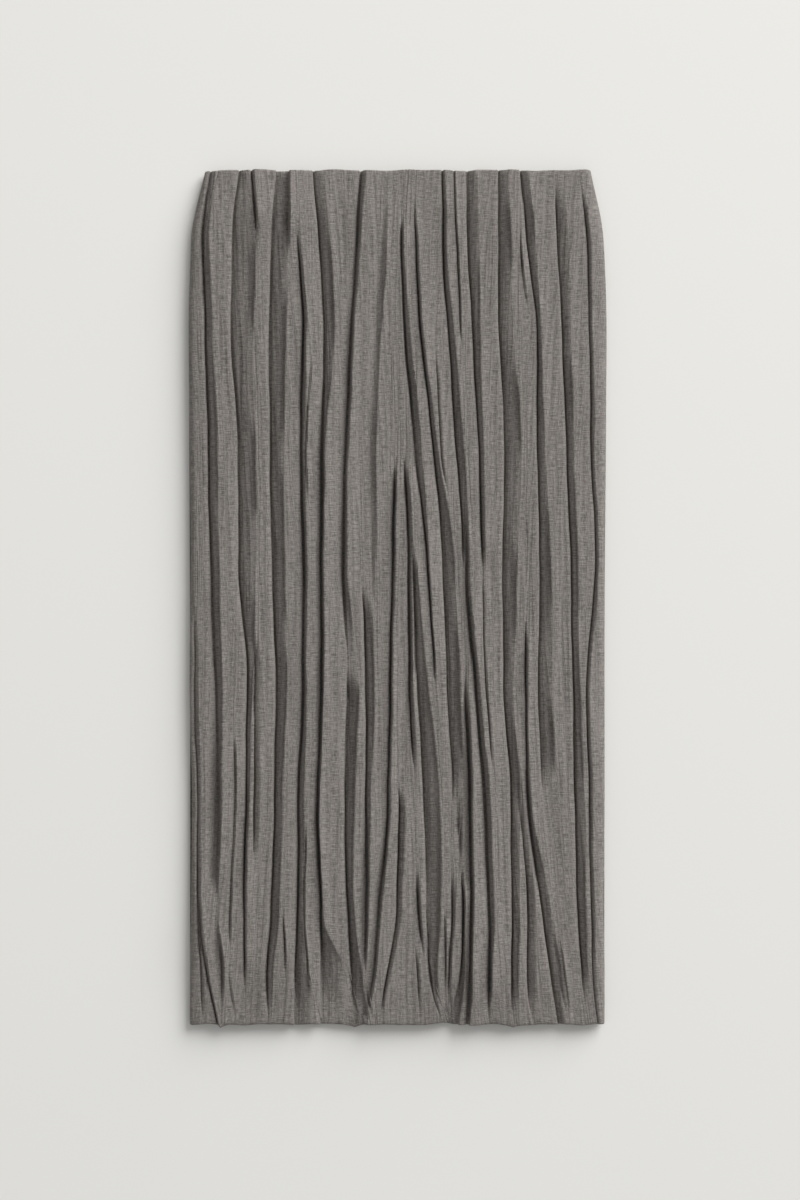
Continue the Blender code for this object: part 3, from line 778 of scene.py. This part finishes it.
    def surface(self) -> tuple[np.ndarray, np.ndarray]:
        """Works out the sheet's points and its flat coordinates.

        Returns:
            Points in metres as rows by columns by 3, and UVs in metres as rows by columns by 2.
        """
        down, deep = self.rows()
        lines, depths = self.fold_lines(down), self.fold_depths(down)
        laps, falls = self.along("lap", down), self.along("fall", down)
        left = smooth_line(self.stations, self.left, down)
        right = smooth_line(self.stations, self.right, down)
        x, owners = self.columns(lines, laps, falls, left, right)
        out = self.relief(x, down, lines, laps, falls, depths)
        flat_x = self.developed(x, out)
        rows = np.broadcast_to(down[:, None], x.shape)
        out = out + 0.32 * crinkle(flat_x / 4.6 + 90, rows / 75.0, self.seed + 5)
        out = out + 0.45 * crinkle(flat_x / 13.0 + 90, rows / 120.0, self.seed + 6)
        roll = self.side_roll(x, left, right)
        flats, seam = self.flats / MM, self.seam / MM
        sign = self.side.value
        height = seam + (flats + sign * (out - deep[:, None]) - seam) * roll
        lean = self.lean(depths, owners)
        near_hem = smooth_step(self.length - 60, self.length, down)[:, None]
        waist_wave = 0.5 * np.sin(x / 13.0) + 0.35 * np.sin(x / 5.7)
        near_waist = 1 - smooth_step(0, 40, down)[:, None]
        y = self.top_y / MM - rows - near_hem * self.hem_drop(x) + near_waist * (waist_wave - 0.85)
        points = np.stack([x + lean + self.inset(x, deep, left, right), y, height], -1) * MM
        return points, np.stack([flat_x, rows + 2 * deep[:, None]], -1) * MM

    def inset(self, x: np.ndarray, deep: np.ndarray, left: np.ndarray,
              right: np.ndarray) -> np.ndarray:
        """How far the turned-in layers keep in from the side seams.

        Args:
            x: Mesh columns' places.
            deep: How far in each row lies from the outer face.
            left: The left seam's x.
            right: The right seam's x.

        Returns:
            Shifts in mm, towards the middle.
        """
        most = self.side_inset * deep[:, None] / self.layer_gap
        spread = 12.0
        from_left = 1 - np.clip((x - left[:, None]) / spread, 0, 1)
        from_right = 1 - np.clip((right[:, None] - x) / spread, 0, 1)
        return most * (from_left**2 - from_right**2)

    def lean(self, depths: np.ndarray, owners: Sequence[tuple[int, int]]) -> np.ndarray:
        """How far each column leans sideways over its crevice.

        Args:
            depths: The folds' depth shares.
            owners: Each column's fold and role.

        Returns:
            Shifts in mm as rows by columns.
        """
        shift = np.zeros((depths.shape[1], len(owners)))
        for column, (fold, role) in enumerate(owners):
            if fold >= 0:
                shift[:, column] = self.column_leans[role] * np.clip(depths[fold], 0, 1)
        return shift

    def developed(self, x: np.ndarray, out: np.ndarray) -> np.ndarray:
        """The place of each column on the cloth laid out flat, smoothed along the cloth.

        Args:
            x: Mesh columns' places.
            out: Their relief.

        Returns:
            Distances from the centre line along the cloth, in mm.
        """
        step = np.hypot(np.diff(x, axis=1), np.diff(out, axis=1))
        along = np.concatenate([np.zeros((len(x), 1)), np.cumsum(step, axis=1)], axis=1)
        middle = np.argmin(np.abs(x.mean(axis=0)))
        extra = along - along[:, middle:middle + 1] + x[:, middle:middle + 1] - x
        reach, spread = 90, 35.0
        weights = np.exp(-0.5 * (np.arange(-reach, reach + 1) / spread) ** 2)
        weights /= weights.sum()
        padded = np.pad(extra, ((reach, reach), (0, 0)), mode="edge")
        return x + sum(w * padded[i:i + len(x)] for i, w in enumerate(weights))

    def outer_line(self, down: float, proud: float) -> np.ndarray:
        """Follows the outside of the sheet across its width.

        Args:
            down: Distance down from the waist, in mm.
            proud: How far the line stands off the cloth, in mm.

        Returns:
            Points in metres, from left to right.
        """
        points, _ = self.surface()
        at, deep = self.rows()
        outer = np.flatnonzero(deep == 0)
        above = outer[np.searchsorted(at[outer], down) - 1]
        share = (down - at[above]) / (at[above + 1] - at[above])
        line = points[above] * (1 - share) + points[above + 1] * share
        line[:, 2] += self.side.value * (self.cloth / 2 + proud) * MM
        return line[2:-2]

    def build(self, material: bpy.types.Material) -> bpy.types.Object:
        """Makes the sheet as one closed mesh with the cloth's thickness.

        Args:
            material: The cloth's finish.

        Returns:
            The finished object.
        """
        points, flat = self.surface()
        count_rows, count_columns = points.shape[:2]
        index = np.arange(count_rows * count_columns).reshape(count_rows, count_columns)
        quads = np.stack([index[:-1, :-1], index[1:, :-1], index[1:, 1:], index[:-1, 1:]], -1)
        if self.side is Side.BACK:
            quads = quads[..., ::-1]
        mesh = bpy.data.meshes.new(self.name)
        mesh.from_pydata(points.reshape(-1, 3).tolist(), [], quads.reshape(-1, 4).tolist())
        mesh.materials.append(material)
        layer = mesh.uv_layers.new(name="cloth")
        corners = np.empty(len(mesh.loops), np.int32)
        mesh.loops.foreach_get("vertex_index", corners)
        layer.data.foreach_set("uv", flat.reshape(-1, 2)[corners].ravel())
        mesh.shade_smooth()
        mesh.update()
        sheet = bpy.data.objects.new(self.name, mesh)
        bpy.context.scene.collection.objects.link(sheet)
        thick = sheet.modifiers.new("thickness", "SOLIDIFY")
        thick.thickness = self.cloth * MM
        thick.offset = 0.0
        LOG.info("%s: %d rows by %d columns", self.name, count_rows, count_columns)
        return bake_modifiers(sheet)


@dataclass
class HemStitches:
    """The row of stitches that holds a hem up.

    Attributes:
        name: The piece's name.
        sheet: The sheet that it is sewn through.
        thread: The thread's finish.
        up: Its height above the hem edge, in mm.
        spacing: Distance from stitch to stitch, in mm. The real one is about 2.5, too fine to show.
        length: Length of a stitch, in mm.
        radius: Half its thickness, in mm.
        seed: Sets how the stitches differ in length.
    """

    name: str
    sheet: PleatedSheet
    thread: bpy.types.Material
    up: float = 16.0
    spacing: float = 4.0
    length: float = 2.6
    radius: float = 0.26
    seed: int = 3

    def build(self) -> bpy.types.Object:
        """Lays one stitch after another along the sheet.

        Returns:
            The finished object.
        """
        path = self.sheet.outer_line(self.sheet.length - self.up, 0.1)
        mesh = bpy.data.meshes.new(self.name)
        mesh.from_pydata(path.tolist(), [(i, i + 1) for i in range(len(path) - 1)], [])
        row = bpy.data.objects.new(self.name, mesh)
        bpy.context.scene.collection.objects.link(row)
        tree = self._tree()
        sewing = row.modifiers.new("stitches", "NODES")
        sewing.node_group = tree
        values = {"Spacing": self.spacing * MM, "Length": self.length * MM,
                  "Radius": self.radius * MM, "Seed": self.seed, "Thread": self.thread}
        for item in tree.interface.items_tree:
            if item.item_type == "SOCKET" and item.in_out == "INPUT" and item.name in values:
                sewing[item.identifier] = values[item.name]
        return bake_modifiers(row)

    def _tree(self) -> bpy.types.NodeTree:
        """Builds the tree that sews along an edge path.

        Returns:
            The tree.
        """
        tree = bpy.data.node_groups.new("hem_stitches", "GeometryNodeTree")
        sockets = (("Geometry", "Geometry"), ("Spacing", "Float"), ("Length", "Float"),
                   ("Radius", "Float"), ("Seed", "Int"), ("Thread", "Material"))
        for name, kind in sockets:
            tree.interface.new_socket(name=name, in_out="INPUT", socket_type=f"NodeSocket{kind}")
        tree.interface.new_socket(name="Geometry", in_out="OUTPUT",
                                  socket_type="NodeSocketGeometry")
        given = add_node(tree, "NodeGroupInput").outputs
        path = add_node(tree, "GeometryNodeMeshToCurve", {}, Mesh=given["Geometry"]).outputs[0]
        places = add_node(tree, "GeometryNodeResampleCurve", {"mode": "LENGTH"}, Curve=path,
                          Length=given["Spacing"]).outputs[0]
        bead = add_node(tree, "GeometryNodeMeshUVSphere", {}, Segments=6, Rings=4,
                        Radius=1.0).outputs[0]
        smooth = add_node(tree, "GeometryNodeSetShadeSmooth", {}, Geometry=bead).outputs[0]
        along = add_node(tree, "GeometryNodeInputTangent").outputs[0]
        turn = add_node(tree, "FunctionNodeAlignRotationToVector", {"axis": "Z"},
                        Vector=along).outputs[0]
        vary = add_node(tree, "FunctionNodeRandomValue", {"data_type": "FLOAT"}, in2=0.42, in3=0.5,
                        Seed=given["Seed"]).outputs[1]
        half = add_node(tree, "ShaderNodeMath", {"operation": "MULTIPLY"}, in0=given["Length"],
                        in1=vary).outputs[0]
        size = add_node(tree, "ShaderNodeCombineXYZ", {}, X=given["Radius"], Y=given["Radius"],
                        Z=half).outputs[0]
        sewn = add_node(tree, "GeometryNodeInstanceOnPoints", {}, Points=places, Instance=smooth,
                        Rotation=turn, Scale=size).outputs[0]
        solid = add_node(tree, "GeometryNodeRealizeInstances", {}, Geometry=sewn).outputs[0]
        dressed = add_node(tree, "GeometryNodeSetMaterial", {}, Geometry=solid,
                           Material=given["Thread"]).outputs[0]
        add_node(tree, "NodeGroupOutput", {}, Geometry=dressed)
        return tree


def bake_modifiers(piece: bpy.types.Object) -> bpy.types.Object:
    """Turns an object with modifiers into a plain mesh of the same name.

    Args:
        piece: The object.

    Returns:
        The object that took its place.
    """
    name = piece.name
    graph = bpy.context.evaluated_depsgraph_get()
    mesh = bpy.data.meshes.new_from_object(piece.evaluated_get(graph))
    bpy.data.objects.remove(piece, do_unlink=True)
    mesh.name = name
    plain = bpy.data.objects.new(name, mesh)
    bpy.context.scene.collection.objects.link(plain)
    return plain


# ---------------------------------------------------------------------------------------------
# Surroundings
# ---------------------------------------------------------------------------------------------

@dataclass
class Studio:
    """A pale floor under soft daylight lamps, and a camera straight above.

    Attributes:
        view_width: Width of floor that the camera sees, in metres.
        aim: Where on the floor it looks, from the skirt's centre.
        lens: Focal length in mm, long enough that the skirt's sides don't splay.
        lamp_distance: How far off the lamps hang, in metres, near enough to fade along the skirt.
    """

    view_width: float = 0.8
    aim: tuple[float, float] = (0.00225, -0.00125)
    lens: float = 85.0
    lamp_distance: float = 12.0

    def build(self) -> None:
        """Makes the floor, lamps, sky and camera."""
        self._floor()
        self._lamp("key", elevation=27.0, azimuth=50.0, softness=48.0, strength=4.5)
        self._lamp("overhead", elevation=90.0, azimuth=0.0, softness=60.0, strength=0.2)
        self._sky(0.36)
        self._camera()

    def _floor(self) -> None:
        """Lays the floor."""
        half = 4.0
        mesh = bpy.data.meshes.new("floor")
        mesh.from_pydata([(-half, -half, 0), (half, -half, 0), (half, half, 0), (-half, half, 0)],
                         [], [(0, 1, 2, 3)])
        material = bpy.data.materials.new("matt_painted_board")
        material.use_nodes = True
        shader = material.node_tree.nodes["Principled BSDF"]
        shader.inputs["Base Color"].default_value = linear_colour("E9E8E4")
        shader.inputs["Roughness"].default_value = 0.9
        shader.inputs["Specular IOR Level"].default_value = 0.1
        mesh.materials.append(material)
        floor = bpy.data.objects.new("floor", mesh)
        bpy.context.scene.collection.objects.link(floor)

    def _lamp(self, name: str, elevation: float, azimuth: float, softness: float,
              strength: float) -> None:
        """Adds a lamp far off behind a large diffuser.

        Args:
            name: The lamp's name.
            elevation: Its angle above the floor, in degrees.
            azimuth: Its direction, in degrees from +X towards +Y.
            softness: The angle that it spans, in degrees.
            strength: Its light on a surface that faces it, in W/m2.
        """
        data = bpy.data.lights.new(name, "AREA")
        data.shape = "DISK"
        data.size = 2 * self.lamp_distance * math.tan(math.radians(softness / 2))
        data.energy = strength * math.pi * self.lamp_distance**2
        lamp = bpy.data.objects.new(name, data)
        lamp.visible_camera = False
        turn, climb = math.radians(azimuth), math.radians(elevation)
        away = Vector((math.cos(climb) * math.cos(turn), math.cos(climb) * math.sin(turn),
                       math.sin(climb)))
        lamp.location = away * self.lamp_distance
        lamp.rotation_euler = (-away).to_track_quat("-Z", "Y").to_euler()
        bpy.context.scene.collection.objects.link(lamp)

    def _sky(self, strength: float) -> None:
        """Sets an even white surround.

        Args:
            strength: Its brightness.
        """
        world = bpy.data.worlds.new("surround")
        world.use_nodes = True
        back = world.node_tree.nodes["Background"]
        back.inputs["Color"].default_value = linear_colour("FFFFFF")
        back.inputs["Strength"].default_value = strength
        bpy.context.scene.world = world
        bpy.context.scene.view_settings.view_transform = "Standard"

    def _camera(self) -> None:
        """Hangs the camera straight above, with +Y up in its picture."""
        data = bpy.data.cameras.new("camera")
        data.lens = self.lens
        tall = self.view_width * 1200 / 800
        camera = bpy.data.objects.new("camera", data)
        camera.location = (*self.aim, tall * self.lens / data.sensor_width)
        bpy.context.scene.collection.objects.link(camera)
        bpy.context.scene.camera = camera


# ---------------------------------------------------------------------------------------------
# Assembly
# ---------------------------------------------------------------------------------------------

def declare(piece: bpy.types.Object, nodes: Sequence[str] = ()) -> None:
    """Ties a finished piece to the model.

    Args:
        piece: The piece.
        nodes: The solids that it stands for.
    """
    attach(piece, "root")
    if nodes:
        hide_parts(*nodes)
    LOG.info("%s: %d faces", piece.name, len(piece.data.polygons))


def main() -> None:
    """Builds the skirt and its surroundings."""
    logging.basicConfig(level=logging.INFO, format="%(name)s: %(message)s")
    front_low, front_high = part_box("front_panel")
    cloth = MelangeCloth("wool_blend_melange_plain_weave").make()
    thread = SpunThread("spun_polyester_thread").make()
    middle, top = float(front_low[2]), float(front_high[1]) - 0.0011
    front = PleatedSheet(
        "front_cloth", Side.FRONT, FRONT_STATIONS, FRONT_LEFT, FRONT_RIGHT, FRONT_FOLDS,
        flats=float(front_high[2]) - 0.0006, seam=middle + 0.0011, top_y=top,
    )
    back = PleatedSheet(
        "back_cloth", Side.BACK, BACK_STATIONS, BACK_LEFT, BACK_RIGHT, BACK_FOLDS,
        flats=0.0016, seam=middle - 0.0005, top_y=top,
        crevice=1.2, slope=0.10, tilt=0.1, deepest=1.7, ends_fall=0.0, ends_room=0.8, seed=20,
    )
    front_piece, back_piece = front.build(cloth), back.build(cloth)
    front_row = HemStitches("front_hem_stitches", front, thread).build()
    back_row = HemStitches("back_hem_stitches", back, thread, seed=4).build()
    declare(front_piece, ("front_panel", "front_waist_casing", "front_hem_turning"))
    declare(back_piece, ("back_panel", "back_waist_casing", "back_hem_turning"))
    declare(front_row)
    declare(back_row)
    Studio().build()


if __name__ == "__main__":
    main()
